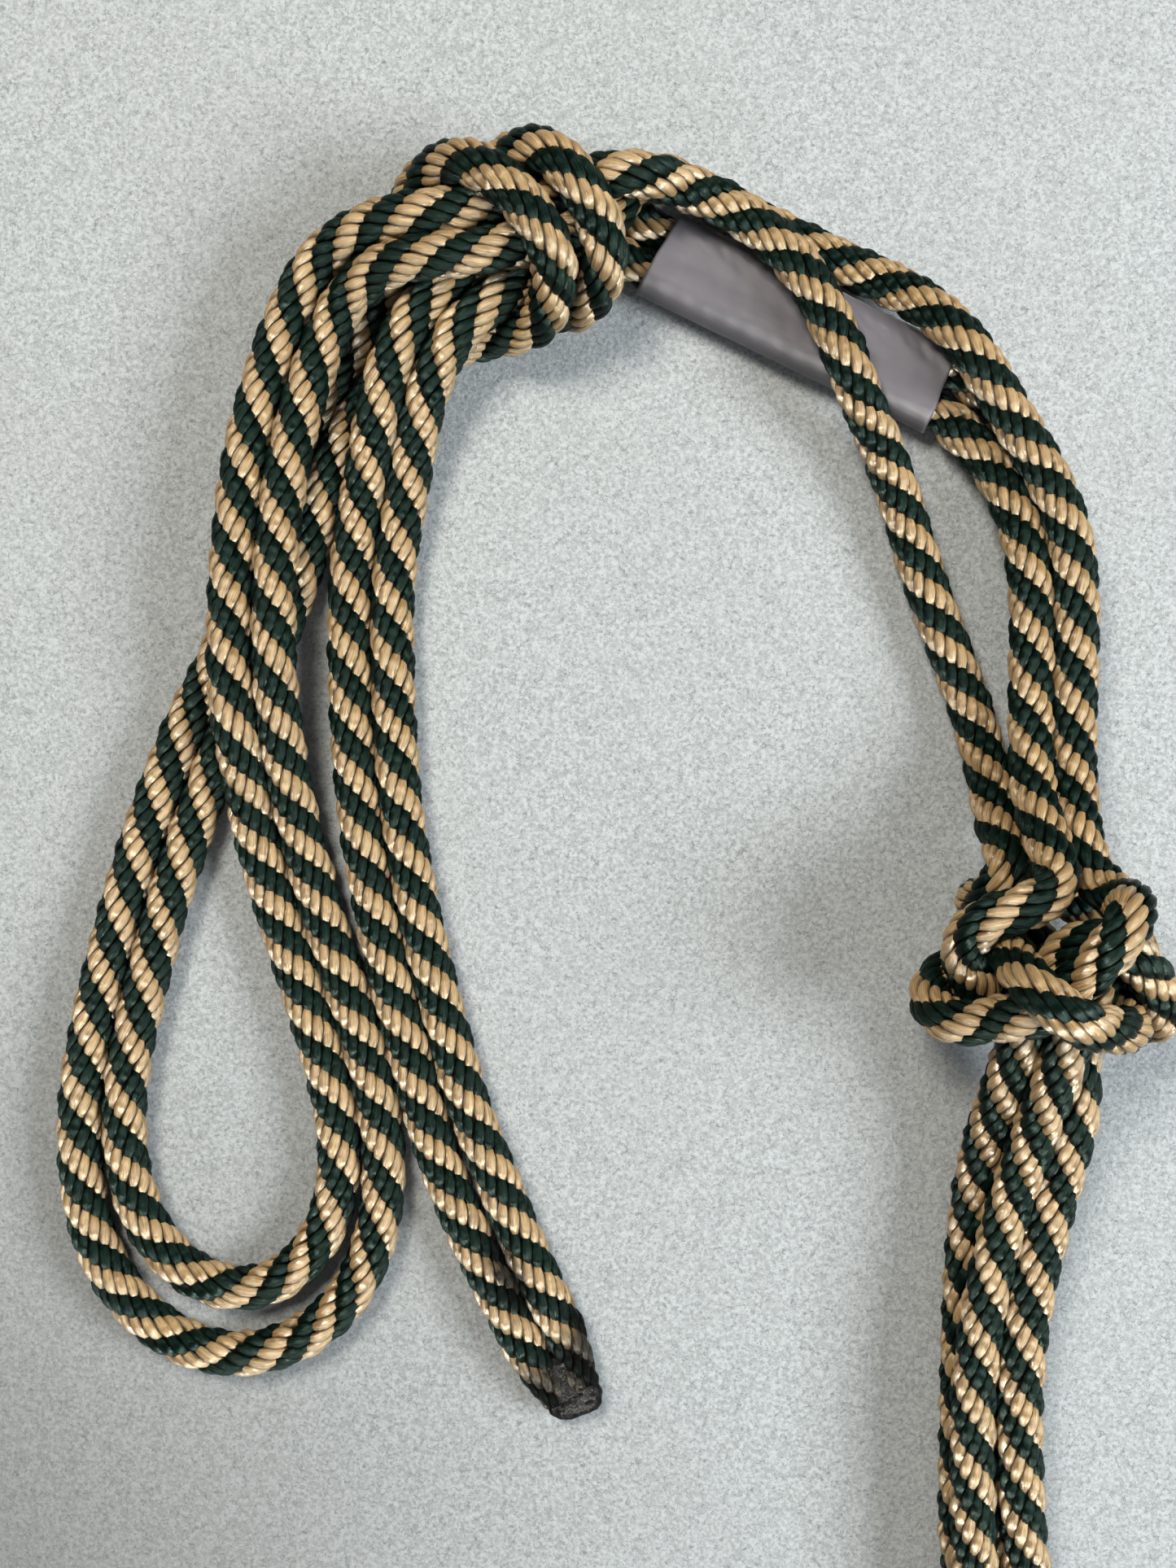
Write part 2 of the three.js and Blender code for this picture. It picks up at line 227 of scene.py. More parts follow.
# ---------------------------------------------------------------- the whole rope
TIP_RUN = 13.0         # how far each strand runs on past its end ring, into the melted tip
TIP_STEPS = (5, 9, TIP_RUN)
TIP_CLOSING = 1.3      # how far it moves towards the other strand on the way
TIP_THIN = 0.34        # how much thinner it is at the end

points, spans = joined_centreline()
tip_aim = unit(unit(points[0] - points[2]) + unit(points[-1] - points[-3]))
across = unit(points[-1] - points[0])
tail_end_at = (points[0] + points[-1]) / 2


def run_on(end, inwards):
    """Points that carry a strand on from its end ring into the melted tip."""
    return [end + tip_aim * d + inwards * TIP_CLOSING * (d / TIP_RUN) ** 1.5 for d in TIP_STEPS]


points = np.vstack([run_on(points[0], across)[::-1], points, run_on(points[-1], -across)])
rope = Rope(*spline(points))
span_s = [(rope.marks[a + len(TIP_STEPS)], rope.marks[b + len(TIP_STEPS)]) for a, b in spans]
tail_start, tail_end = span_s[0][0], span_s[-1][1]

# How the sleeve grips the rope, mm
GRIP = 0.18            # how much thinner the rope is inside the sleeve
GRIP_PAST = 5.0        # how far past the sleeve's ends the rope starts to thin
GRIP_RAMP = 2.2        # the length over which it does
GRIP_ASIDE = 2.0       # how far outside the sleeve's flat part a strand may run
GRIP_HIGH = 2.5        # how far above or below its middle


def sleeve_shape():
    """The CAD sleeve in mm: its directions along and across, the places of its two ends along and of
    its middle across, half the width of its flat part, its middle height, and half its thickness."""
    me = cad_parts["label_sleeve"].data
    co = np.array([v.co for v in me.vertices]) / MM
    flat = co[:, :2] - co[:, :2].mean(0)
    axes = np.linalg.eigh(flat.T @ flat)[1]
    aim = axes[:, 1] * (1 if axes[0, 1] > 0 else -1)
    side = np.array([-aim[1], aim[0]])
    u, v, z = co[:, :2] @ aim, co[:, :2] @ side, co[:, 2]
    high = (z.max() - z.min()) / 2
    half = (v.max() - v.min()) / 2 - high
    return aim, side, u.min(), u.max(), (v.min() + v.max()) / 2, half, (z.min() + z.max()) / 2, high


SLEEVE = sleeve_shape()


def squeezed():
    """How far inside the sleeve each sample of the rope is, from 0 to 1."""
    aim, side, u0, u1, vm, half, z0, _ = SLEEVE
    u, v = rope.c[:, :2] @ aim, rope.c[:, :2] @ side
    inside = np.clip((np.minimum(u - u0, u1 - u) + GRIP_PAST) / GRIP_RAMP, 0, 1)
    beside = np.abs(v - vm) < half + GRIP_ASIDE
    level = np.abs(rope.c[:, 2] - z0) < GRIP_HIGH
    return inside * beside * level


inside_sleeve = squeezed()


def taper(s):
    """How full the rope is: thinner where the sleeve grips it and where the two ends melt together."""
    past = np.maximum(tail_start - s, s - tail_end)
    grip = 1 - GRIP * np.interp(s, rope.s, inside_sleeve)
    return grip * (1 - TIP_THIN * np.clip(past / TIP_RUN, 0, 1) ** 1.3)


# ---------------------------------------------------------------- stitches and core
RING_U = np.array([-0.93, -0.76, -0.5, -0.2, 0.1, 0.4, 0.68, 0.9])
MID_RING = 4
AROUND = 8
STITCH_VERTS = len(RING_U) * AROUND + 2
SEED = 1000
# How much the stitches differ in place (mm), angle (radians), length, width, thickness and tilt
JITTER = np.array([0.10, 0.012, 0.03, 0.035, 0.05, 0.02])
BOW = 0.20             # how far a stitch's middle stands out sideways, mm
DIVE = 0.95            # how deep its ends dive, mm
END_DIVE = 1.0         # how deep its two end points lie, mm
RISE = 0.08            # how much its leading end lies further out, and its trailing end further in, mm
SLANT = 0.30           # how far one side lags behind the other, mm along per mm across
CORE_SIDES = 12
CORE_STEP = 1.6        # ring to ring, mm


def closed_tube(rings, sides):
    """Faces of rings of points in a row, closed by a point at each end; a triangle ends in -1."""
    faces = []
    for ring in range(rings - 1):
        for m in range(sides):
            a, b = ring * sides + m, ring * sides + (m + 1) % sides
            faces.append((a, b, b + sides, a + sides))
    head, foot = rings * sides, rings * sides + 1
    last = (rings - 1) * sides
    for m in range(sides):
        nxt = (m + 1) % sides
        faces.append((head, nxt, m, -1))
        faces.append((foot, last + m, last + nxt, -1))
    return np.array(faces)


STITCH_FACES = closed_tube(len(RING_U), AROUND)


def stitch_grid(s_from, s_to):
    """Place along the rope, column and row of every stitch whose middle lies in a span of the rope."""
    found = []
    for j in range(COLUMNS):
        shift = -j * STARTS * ROW / COLUMNS
        first = math.ceil((s_from - shift) / ROW)
        end = math.ceil((s_to - shift) / ROW)
        found += [(k * ROW + shift, j, k) for k in range(first, end)]
    return (np.array(values) for values in zip(*found))


def stitches(s_from, s_to):
    """Vertices, faces and attributes of every stitch whose middle lies in a span of the rope."""
    s0, col, row = stitch_grid(s_from, s_to)
    n = len(s0)
    noise = np.random.default_rng(SEED + int(s_from * 10))
    jitter = noise.normal(size=(n, 6)) * JITTER
    s0 = (s0 + jitter[:, 0])[:, None, None]
    angle0 = (2 * np.pi * col / COLUMNS + jitter[:, 1])[:, None, None]
    long = (STITCH_LONG * (1 + jitter[:, 2]))[:, None, None]
    wide = (STITCH_WIDE * (1 + jitter[:, 3]))[:, None, None]
    thick = (STITCH_THICK * (1 + jitter[:, 4]))[:, None, None]
    tilt = (STITCH_TILT + jitter[:, 5])[:, None, None]
    # the rings: u runs along a stitch, a across it and h out of the rope
    u = RING_U[None, :, None]
    turn = 2 * np.pi * np.arange(AROUND) / AROUND
    body = (1 - u ** 2) ** 0.95
    a = wide * (body * np.cos(turn)[None, None, :])
    h = thick * (body ** 0.8 * np.sin(turn)[None, None, :])
    lean = tilt * long * u
    bow = BOW * (1 - u ** 2)
    sink = -DIVE * np.abs(u) ** 2.0 + RISE * u
    s = s0 + long * u - SLANT * a
    ring_pos = rope.place(s, angle0 + (a + lean + bow) / ROPE_R, (ROPE_R + h + sink) * taper(s))
    ring_pos = ring_pos.reshape(n, -1, 3)
    ends = []
    for sign in (-1, 1):
        s_end = s0 + long * sign
        r_end = (ROPE_R - END_DIVE + RISE * sign) * taper(s_end)
        ends.append(rope.place(s_end, angle0 + sign * tilt * long / ROPE_R, r_end).reshape(n, 1, 3))
    pos = np.concatenate([ring_pos, *ends], 1)
    # the direction across each stitch, which its highlights follow
    over = ring_pos[:, MID_RING * AROUND] - ring_pos[:, MID_RING * AROUND + AROUND // 2]
    over /= np.linalg.norm(over, axis=1)[:, None]
    gu = np.concatenate([np.broadcast_to(u, a.shape).reshape(n, -1), -np.ones((n, 1)), np.ones((n, 1))], 1)
    gv = np.concatenate([(a / STITCH_WIDE).reshape(n, -1), np.zeros((n, 2))], 1)
    first_vert = (np.arange(n) * STITCH_VERTS)[:, None, None]
    faces = np.where(STITCH_FACES < 0, -1, STITCH_FACES + first_vert).reshape(-1, 4)
    return pos.reshape(-1, 3), faces, {
        "gu": gu.reshape(-1),
        "gv": gv.reshape(-1),
        "tint": np.repeat((row % 2 == 0).astype(float), STITCH_VERTS),
        "rnd": np.repeat(noise.random(n), STITCH_VERTS),
        "over": np.repeat(over, STITCH_VERTS, axis=0),
    }


def core(s_from, s_to):
    """The rope's inner yarns under the stitches: a closed tube, coloured near black as painted shade for
    the gaps between stitches.
    """
    count = max(4, int((s_to - s_from) / CORE_STEP))
    turn = 2 * np.pi * np.arange(CORE_SIDES) / CORE_SIDES
    s, angle = np.meshgrid(np.linspace(s_from, s_to, count), turn, indexing="ij")
    ring = rope.place(s, angle, CORE_R * taper(s))
    caps = rope.at(np.array([s_from, s_to]), rope.c)
    return np.concatenate([ring.reshape(-1, 3), caps]), closed_tube(count, CORE_SIDES)


def build_mesh(name, pos_mm, faces, attributes, materials, material_index=None):
    """A smooth mesh object from vertices in mm and an array of quads, or triangles ending in -1."""
    me = bpy.data.meshes.new(name)
    sizes = np.where(faces[:, 3] < 0, 3, 4)
    loops = faces[faces >= 0]
    me.vertices.add(len(pos_mm))
    me.vertices.foreach_set("co", (pos_mm * MM).astype(np.float32).reshape(-1))
    me.loops.add(len(loops))
    me.loops.foreach_set("vertex_index", loops.astype(np.int32))
    me.polygons.add(len(faces))
    starts = np.concatenate([[0], np.cumsum(sizes)[:-1]])
    me.polygons.foreach_set("loop_start", starts.astype(np.int32))
    me.polygons.foreach_set("loop_total", sizes.astype(np.int32))
    for material in materials:
        me.materials.append(material)
    if material_index is not None:
        me.polygons.foreach_set("material_index", material_index.astype(np.int32))
    me.polygons.foreach_set("use_smooth", np.full(len(faces), True))
    for key, values in attributes.items():
        kind, field = ("FLOAT_VECTOR", "vector") if values.ndim == 2 else ("FLOAT", "value")
        data = me.attributes.new(key, kind, "POINT").data
        data.foreach_set(field, values.astype(np.float32).reshape(-1))
    me.update(calc_edges=True)
    me.validate()
    obj = bpy.data.objects.new(name, me)
    bpy.context.scene.collection.objects.link(obj)
    return obj


# ---------------------------------------------------------------- materials
def srgb(*c):
    """A linear colour from its 0 to 255 screen values."""
    shares = [v / 255 for v in c]
    return tuple(v / 12.92 if v <= 0.04045 else ((v + 0.055) / 1.055) ** 2.4 for v in shares) + (1.0,)


TAN_SHADE, TAN_LIGHT, TAN_WARM = srgb(92, 66, 34), srgb(164, 136, 92), srgb(162, 132, 88)
GREEN_SHADE, GREEN_LIGHT, GREEN_MID = srgb(0, 3, 2), srgb(5, 25, 19), srgb(2, 15, 11)
# the first two are painted shade, at a stitch's ends and sides where it meets its neighbours; BURNT is the
# real charring of the tip
DIVE_PAINTED_SHADE, SIDE_PAINTED_SHADE, BURNT = srgb(5, 6, 4), srgb(8, 7, 4), srgb(9, 8, 7)
GREEN_GLOSS, TAN_GLOSS, TAN_SHEEN = srgb(190, 230, 215), srgb(255, 244, 222), srgb(255, 240, 212)


class Nodes:
    """A short way to wire a material's nodes. An input is named, or i and its number."""

    def __init__(self, name):
        self.m = bpy.data.materials.new(name)
        self.m.use_nodes = True
        self.t = self.m.node_tree
        self.bsdf = self.t.nodes["Principled BSDF"]

    def new(self, kind, **inputs):
        node = self.t.nodes.new(kind)
        for key, value in inputs.items():
            self.put(node, key, value)
        return node

    def put(self, node, key, value):
        by_number = key[0] == "i" and key[1:].isdigit()
        socket = node.inputs[int(key[1:])] if by_number else node.inputs[key.replace("_", " ")]
        if isinstance(value, bpy.types.NodeSocket):
            self.t.links.new(value, socket)
        else:
            socket.default_value = value

    def surface(self, **inputs):
        for key, value in inputs.items():
            self.put(self.bsdf, key, value)

    def position(self):
        return self.new("ShaderNodeNewGeometry").outputs["Position"]

    def attr(self, name, output="Fac"):
        node = self.t.nodes.new("ShaderNodeAttribute")
        node.attribute_name = name
        return node.outputs[output]

    def math(self, op, a, b=0.0):
        node = self.t.nodes.new("ShaderNodeMath")
        node.operation = op
        self.put(node, "i0", a)
        self.put(node, "i1", b)
        return node.outputs[0]

    def times(self, a, b):
        return self.math("MULTIPLY", a, b)

    def mix(self, fac, a, b):
        node = self.t.nodes.new("ShaderNodeMix")
        node.data_type = "RGBA"
        self.put(node, "i0", fac)
        self.put(node, "i6", a)
        self.put(node, "i7", b)
        return node.outputs[2]

    def ramp(self, fac, lo, hi, to_lo=0.0, to_hi=1.0):
        node = self.t.nodes.new("ShaderNodeMapRange")
        node.interpolation_type = "SMOOTHSTEP"
        for i, v in enumerate((fac, lo, hi, to_lo, to_hi)):
            self.put(node, f"i{i}", v)
        return node.outputs[0]

    def noise(self, vector, scale, detail):
        return self.new("ShaderNodeTexNoise", Vector=vector, Scale=scale, Detail=detail).outputs[0]

    def wave(self, vector, scale):
        return self.new("ShaderNodeTexWave", Vector=vector, Scale=scale, Distortion=0.4).outputs["Fac"]

    def combine(self, x, y, z):
        return self.new("ShaderNodeCombineXYZ", i0=x, i1=y, i2=z).outputs[0]

    def shift(self, vector, by):
        return self.new("ShaderNodeVectorMath", i0=vector, i1=by).outputs[0]

    def bump(self, height, strength, distance):
        return self.new("ShaderNodeBump", Height=height, Strength=strength, Distance=distance).outputs[0]


def braid_colour(k, gu, gv, rnd, tint, fibre):
    """Tan and green yarns, with painted shade where a stitch dives under its neighbours and along its
    sides.
    """
    tan = k.mix(k.ramp(fibre, 0.34, 0.66), TAN_SHADE, TAN_LIGHT)
    tan = k.mix(k.times(rnd, 0.4), tan, TAN_WARM)
    green = k.mix(k.ramp(fibre, 0.35, 0.7), GREEN_SHADE, GREEN_LIGHT)
    green = k.mix(k.times(rnd, 0.35), green, GREEN_MID)
    colour = k.mix(tint, green, tan)
    # painted shade: a stitch darkens towards its ends, where it dives under its neighbours, and towards
    # its sides
    dive_shade = k.ramp(k.math("ABSOLUTE", gu), 0.58, 0.98)
    colour = k.mix(k.times(dive_shade, 0.92), colour, DIVE_PAINTED_SHADE)
    side = k.ramp(k.math("ABSOLUTE", gv), 0.52, 0.96)
    return k.mix(k.times(side, 0.85), colour, SIDE_PAINTED_SHADE)


def braid_material():
    """The stitches: glossy yarns whose filaments run along each stitch and twist a little across it."""
    k = Nodes("rope_braid")
    gu, gv, rnd, tint, char = (k.attr(n) for n in ("gu", "gv", "rnd", "tint", "char"))
    across_it = k.math("ADD", gv, k.times(gu, 0.18))
    lane = k.combine(k.times(gu, 0.9), k.times(across_it, 9.0), k.times(rnd, 57.0))
    fibre = k.noise(lane, 1.6, 3.0)
    fine_lane = k.combine(k.times(gu, 1.6), k.times(across_it, 24.0), k.times(rnd, 91.0))
    fine = k.noise(fine_lane, 1.5, 2.0)
    colour = braid_colour(k, gu, gv, rnd, tint, fibre)
    unburnt = k.math("SUBTRACT", 1.0, k.times(char, 0.8))
    shine = k.math("ADD", 0.15, k.times(tint, 0.85))
    height = k.math("ADD", k.times(fibre, 0.65), k.times(fine, 0.45))
    k.surface(
        Base_Color=k.mix(char, colour, BURNT),
        Roughness=k.ramp(fine, 0.3, 0.7, 0.25, 0.37),
        Specular_IOR_Level=k.times(shine, unburnt),
        Specular_Tint=k.mix(tint, GREEN_GLOSS, TAN_GLOSS),
        Anisotropic=0.75,
        Tangent=k.attr("over", "Vector"),
        Sheen_Weight=k.times(tint, 0.12),
        Sheen_Roughness=0.4,
        Sheen_Tint=TAN_SHEEN,
        Normal=k.bump(height, 0.8, 0.00022),
    )
    return k.m


# the core is real, but its near-black colour is painted shade for the dark seen in the gaps between the
# stitches
def core_material():
    k = Nodes("rope_core_painted_shade")
    n = k.noise(k.position(), 900.0, 3.0)
    k.surface(
        Base_Color=k.mix(n, srgb(2, 4, 3), srgb(14, 13, 9)),
        Roughness=0.9,
        Specular_IOR_Level=0.1,
        Normal=k.bump(n, 0.5, 0.0003),
    )
    return k.m


def sleeve_material():
    """Grey satin: a fine weave over soft crumples."""
    k = Nodes("sleeve_satin")
    along, over = k.attr("su"), k.attr("sv")
    cloud = k.noise(k.combine(along, over, 0.0), 0.09, 3.0)
    weft = k.wave(k.combine(along, over, 0.0), 3.2)
    warp = k.wave(k.combine(over, along, 0.0), 3.0)
    crumple = k.noise(k.combine(k.times(along, 0.55), k.times(over, 1.3), 3.0), 0.55, 4.0)
    height = k.math("ADD", k.times(k.times(weft, warp), 0.12), crumple)
    k.surface(
        Base_Color=k.mix(k.ramp(cloud, 0.3, 0.7), srgb(79, 77, 83), srgb(86, 83, 89)),
        Roughness=k.ramp(crumple, 0.3, 0.7, 0.42, 0.50),
        Specular_IOR_Level=0.32,
        Sheen_Weight=0.25,
        Sheen_Roughness=0.35,
        Normal=k.bump(height, 0.18, 0.0008),
    )
    return k.m


def tip_material():
    """Charred and melted yarn: dark, with brown streaks and a few greenish drops."""
    k = Nodes("fused_tip")
    along, over = k.attr("su"), k.attr("sv")
    streak = k.noise(k.combine(k.times(along, 0.5), k.times(over, 2.2), 0.0), 0.9, 4.0)
    drop = k.noise(k.combine(along, over, 5.0), 0.8, 3.0)
    colour = k.mix(k.ramp(streak, 0.52, 0.75), srgb(8, 7, 6), srgb(34, 26, 18))
    k.surface(
        Base_Color=k.mix(k.ramp(drop, 0.6, 0.8), colour, srgb(11, 16, 13)),
        Roughness=k.ramp(drop, 0.3, 0.75, 0.30, 0.55),
        Specular_IOR_Level=0.07,
        Normal=k.bump(k.math("ADD", streak, drop), 0.45, 0.0006),
    )
    return k.m


def felt_material():
    """Pale felt: a fine grain, soft clouds, thin hairs, and a painted shadow that darkens one corner."""
    k = Nodes("pale_felt")
    where = k.position()
    grain = k.noise(where, 1300.0, 5.0)
    cloud = k.noise(where, 18.0, 4.0)
    felt = k.mix(k.ramp(grain, 0.30, 0.70), srgb(134, 139, 140), srgb(162, 167, 169))
    felt = k.mix(k.ramp(cloud, 0.35, 0.7, 0.0, 0.25), felt, srgb(146, 149, 150))
    # hairs: the level lines of a noise, broken up by another
    for seed, scale in ((0.0, 1000.0), (3.1, 700.0), (7.7, 1300.0)):
        shifted = k.shift(where, (seed, seed * 2, 0.0))
        line = k.math("ABSOLUTE", k.math("SUBTRACT", k.noise(shifted, scale, 1.0), 0.5))
        hair = k.math("SUBTRACT", 1.0, k.ramp(line, 0.010, 0.040))
        broken = k.ramp(k.noise(shifted, scale * 1.2, 2.0), 0.48, 0.60)
        felt = k.mix(k.times(k.times(hair, broken), 0.45), felt, srgb(84, 88, 90))
    # painted shadow: the felt darkens towards one corner, as where a shadow falls on it
    painted_shadow_distance = k.new("ShaderNodeVectorMath", i0=k.shift(where, (0.150, 0.155, 0.0)))
    painted_shadow_distance.operation = "LENGTH"
    felt = k.mix(k.ramp(painted_shadow_distance.outputs["Value"], 0.0, 0.19, 0.60, 0.0), felt, srgb(72, 71, 67))
    k.surface(
        Base_Color=felt,
        Roughness=0.95,
        Specular_IOR_Level=0.15,
        Normal=k.bump(grain, 0.6, 0.0004),
    )
    return k.m


# ---------------------------------------------------------------- rope pieces
CHAR_TAIL = 30         # how far back from the tail's end rings anything is charred, mm
braid, core_painted_shade = braid_material(), core_material()
middles = [(a + b) / 2 for a, b in span_s]


def char_of(pos):
    """How burnt a point of the tail is, from 0 to 1: at the end, on one edge and along the seam."""
    d = (pos - tail_end_at) @ tip_aim
    side = (pos - tail_end_at) @ across
    x, y = pos[:, 0], pos[:, 1]
    wobble = 0.5 * np.sin(x * 1.9 + 1.0) * np.sin(y * 2.3) + 0.3 * np.sin(x * 5.1 + y * 4.3)
    # the end: from just past the end rings, black within 6 mm, and sooner towards the right strand
    end = d + 1.5 * wobble - 1.4 + 0.15 * np.abs(side) + 0.45 * np.maximum(side, 0)
    end = np.clip(end / 6.0, 0, 1) ** 0.8
    # the right strand's outer edge, over the last 4 mm
    edge = np.clip((d + 4 + wobble) / 4, 0, 1) * np.clip((side - 5.0) / 1.5, 0, 1)
    # the seam between the strands, most of all 13 mm back
    near_seam = np.exp(-(side / 2.4) ** 2)
    on_stretch = np.clip(1.25 - np.abs(d + 13 + wobble) / 8.0, 0, 1)
    seam = near_seam * on_stretch * (0.9 + 0.6 * wobble)
    return np.clip(np.maximum.reduce([end, edge, 2.0 * seam]), 0, 1) * (d > -CHAR_TAIL)


def with_core(values, count):
    """A stitch attribute with its value for the core's points, which is 0, or x for a direction."""
    plain = np.tile([1.0, 0, 0], (count, 1)) if values.ndim == 2 else np.zeros(count)
    return np.concatenate([values, plain])


def rope_piece(i):
    """The rope from the middle of one CAD node to the middle of the next, bending at their joint."""
    node, following = CHAIN[i], CHAIN[i + 1]
    is_last = i + 2 == len(CHAIN)
    s_from = middles[i] if i else 0.0
    s_to = rope.length if is_last else middles[i + 1]
    pos, faces, attributes = stitches(s_from, s_to)
    core_pos, core_faces = core(s_from, s_to)
    core_faces = np.where(core_faces < 0, -1, core_faces + len(pos))
    everything = np.concatenate([pos, core_pos])
    attributes = {key: with_core(values, len(core_pos)) for key, values in attributes.items()}
    tail = node.startswith("tail") or following.startswith("tail")
    attributes["char"] = char_of(everything) if tail else np.zeros(len(everything))
    which = np.concatenate([np.zeros(len(faces)), np.ones(len(core_faces))])
    obj = build_mesh(f"rope_{i + 1:02d}_{node}", everything, np.concatenate([faces, core_faces]),
                     attributes, (braid, core_painted_shade), which)
    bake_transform(obj)
    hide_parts(node, *([following] if is_last else []))


for piece in range(len(CHAIN) - 1):
    rope_piece(piece)


# ---------------------------------------------------------------- sleeve
SLEEVE_THICK = 0.45    # mm
SLEEVE_INSET = 0.12    # how far its flat faces lie inside the CAD sleeve's, mm
SLEEVE_LONG = 96       # steps along it
SLEEVE_ROUND = 72      # and round it


def round_slab(q, half, r):
    """The point and its outward direction at a length q round the sleeve's flattened section."""
    if q < 2 * half:
        return half - q, r, 0.0, 1.0
    if q < 2 * half + math.pi * r:
        a = math.pi / 2 + (q - 2 * half) / r
        return -half + r * math.cos(a), r * math.sin(a), math.cos(a), math.sin(a)
    if q < 4 * half + math.pi * r:
        return -half + (q - 2 * half - math.pi * r), -r, 0.0, -1.0
    a = -math.pi / 2 + (q - 4 * half - math.pi * r) / r
    return half + r * math.cos(a), r * math.sin(a), math.cos(a), math.sin(a)


def creases(x, y, nz, edge):
    """How far the satin stands out: soft creases, and on top a dip between the two strands, in mm."""
    w = 0.20 * math.sin(0.62 * x + 1.7 * y) * math.exp(-((y - 0.45 * edge) / 2.2) ** 2)
    w += 0.06 * math.sin(0.37 * x - 0.8 * y + 0.6) + 0.03 * math.sin(1.35 * x + 0.5 * y)
    w += 0.10 * math.sin(2.1 * x + 2.2 * y) * math.exp(-((y - 0.55 * edge) / 1.6) ** 2)
    if nz < 0:
        w *= 0.3
    dip = -0.34 * math.exp(-(y / 2.2) ** 2) if nz > 0.9 else 0.0
    return w * 0.8 + dip


def sleeve_rows():
    """The sleeve's points in mm, outer layer first, each with its places along and round."""
    aim, side, u0, u1, vm, half, z0, high = SLEEVE
    r = high - SLEEVE_INSET
    edge = half + r
    rows = []
    for inset in (0.0, SLEEVE_THICK):
        for i in range(SLEEVE_LONG + 1):
            t = i / SLEEVE_LONG
            for m in range(SLEEVE_ROUND):
                q = m / SLEEVE_ROUND * (4 * half + 2 * math.pi * r)
                y, z, ny, nz = round_slab(q, half, r)
                # both ends are cut a little askew, with an edge that isn't quite straight
                x = u0 + (u1 - u0) * t
                x += (0.7 - 1.4 * t) * y / edge + 0.07 * math.sin(q * 0.9)
                off = creases(x, y, nz, edge) - inset
                y, z = y + ny * off, z + nz * off
                xy = aim * x + side * (vm + y)
                rows.append((xy[0], xy[1], z0 + z, x, q))
    return np.array(rows)


def sleeve_faces():
    """Faces of the two layers and of the strips that join them at both ends."""
    inner = (SLEEVE_LONG + 1) * SLEEVE_ROUND
    last = SLEEVE_LONG * SLEEVE_ROUND
    faces = []
    for i in range(SLEEVE_LONG):
        for m in range(SLEEVE_ROUND):
            a, b = i * SLEEVE_ROUND + m, i * SLEEVE_ROUND + (m + 1) % SLEEVE_ROUND
            c, d = b + SLEEVE_ROUND, a + SLEEVE_ROUND
            faces.append((a, d, c, b))
            faces.append((inner + a, inner + b, inner + c, inner + d))
    for m in range(SLEEVE_ROUND):
        nxt = (m + 1) % SLEEVE_ROUND
        faces.append((m, nxt, inner + nxt, inner + m))
        faces.append((last + m, inner + last + m, inner + last + nxt, last + nxt))
    return np.array(faces)


def sleeve():
    rows = sleeve_rows()
    obj = build_mesh("sleeve_satin", rows[:, :3], sleeve_faces(),
                     {"su": rows[:, 3], "sv": rows[:, 4]}, (sleeve_material(),))
    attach(obj, "sleeve")
    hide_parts("label_sleeve")


sleeve()


# ---------------------------------------------------------------- fused tip
TIP_FROM = 4.6         # where the melted tip sets in past the tail's end rings, mm
TIP_LONG = 12.8
TIP_END = 17.5         # where its last point lies
TIP_BULGE = 0.25       # how far that point stands out from its last ring
TIP_LOW = 0.35         # how far its middle lies below the strands', mm
TIP_RINGS = 31
TIP_SIDES = 36


def tip_section(t):
    """Half width and half height of the melted tip at a share t of its length, in mm."""
    half = 6.9 - 2.1 * t ** 1.3
    high = 3.0 - 1.1 * t
    # rounded off at the far end, drawn in at the near one
    if t >= 0.86:
        high *= math.sqrt(max(0.02, 1 - ((t - 0.86) / 0.15) ** 2))
    if t > 0.8:
        half *= math.sqrt(max(0.05, 1 - ((t - 0.8) / 0.23) ** 2 * 0.75))
    if t < 0.1:
        half *= 0.86 + 1.4 * t
        high *= 0.72 + 2.8 * t
    return half, high


def tip_ring(t, side):
    """One ring of the melted tip: its points in mm, each with its places along and across."""
    x = TIP_FROM + TIP_LONG * t
    half, high = tip_section(t)
    up = np.array([0, 0, 1.0])
    ring = []
    for m in range(TIP_SIDES):
        a = 2 * math.pi * m / TIP_SIDES
        ca, sa = math.cos(a), math.sin(a)
        y = half * math.copysign(abs(ca) ** 0.75, ca)
        z = high * math.copysign(abs(sa) ** 0.8, sa)
        # a groove between the two lobes, fading towards the end, and small lumps
        groove = math.exp(-(y / 1.5) ** 2) * (1 - t) * 0.9
        z *= 1 - 0.35 * groove
        lump = 0.22 * math.sin(1.7 * x + 2 * y) + 0.15 * math.sin(3.9 * x - 1.3 * y + 1)
        lump += 0.1 * math.sin(5.2 * y + x)
        z += lump * (1 if sa > 0 else 0.3) * 0.8
        y += 0.18 * math.sin(2.3 * x + 3 * sa)
        p = tail_end_at + tip_aim * (x + 0.11 * y) + side * y + up * (z - TIP_LOW)
        ring.append((*p, x, y))
    return ring


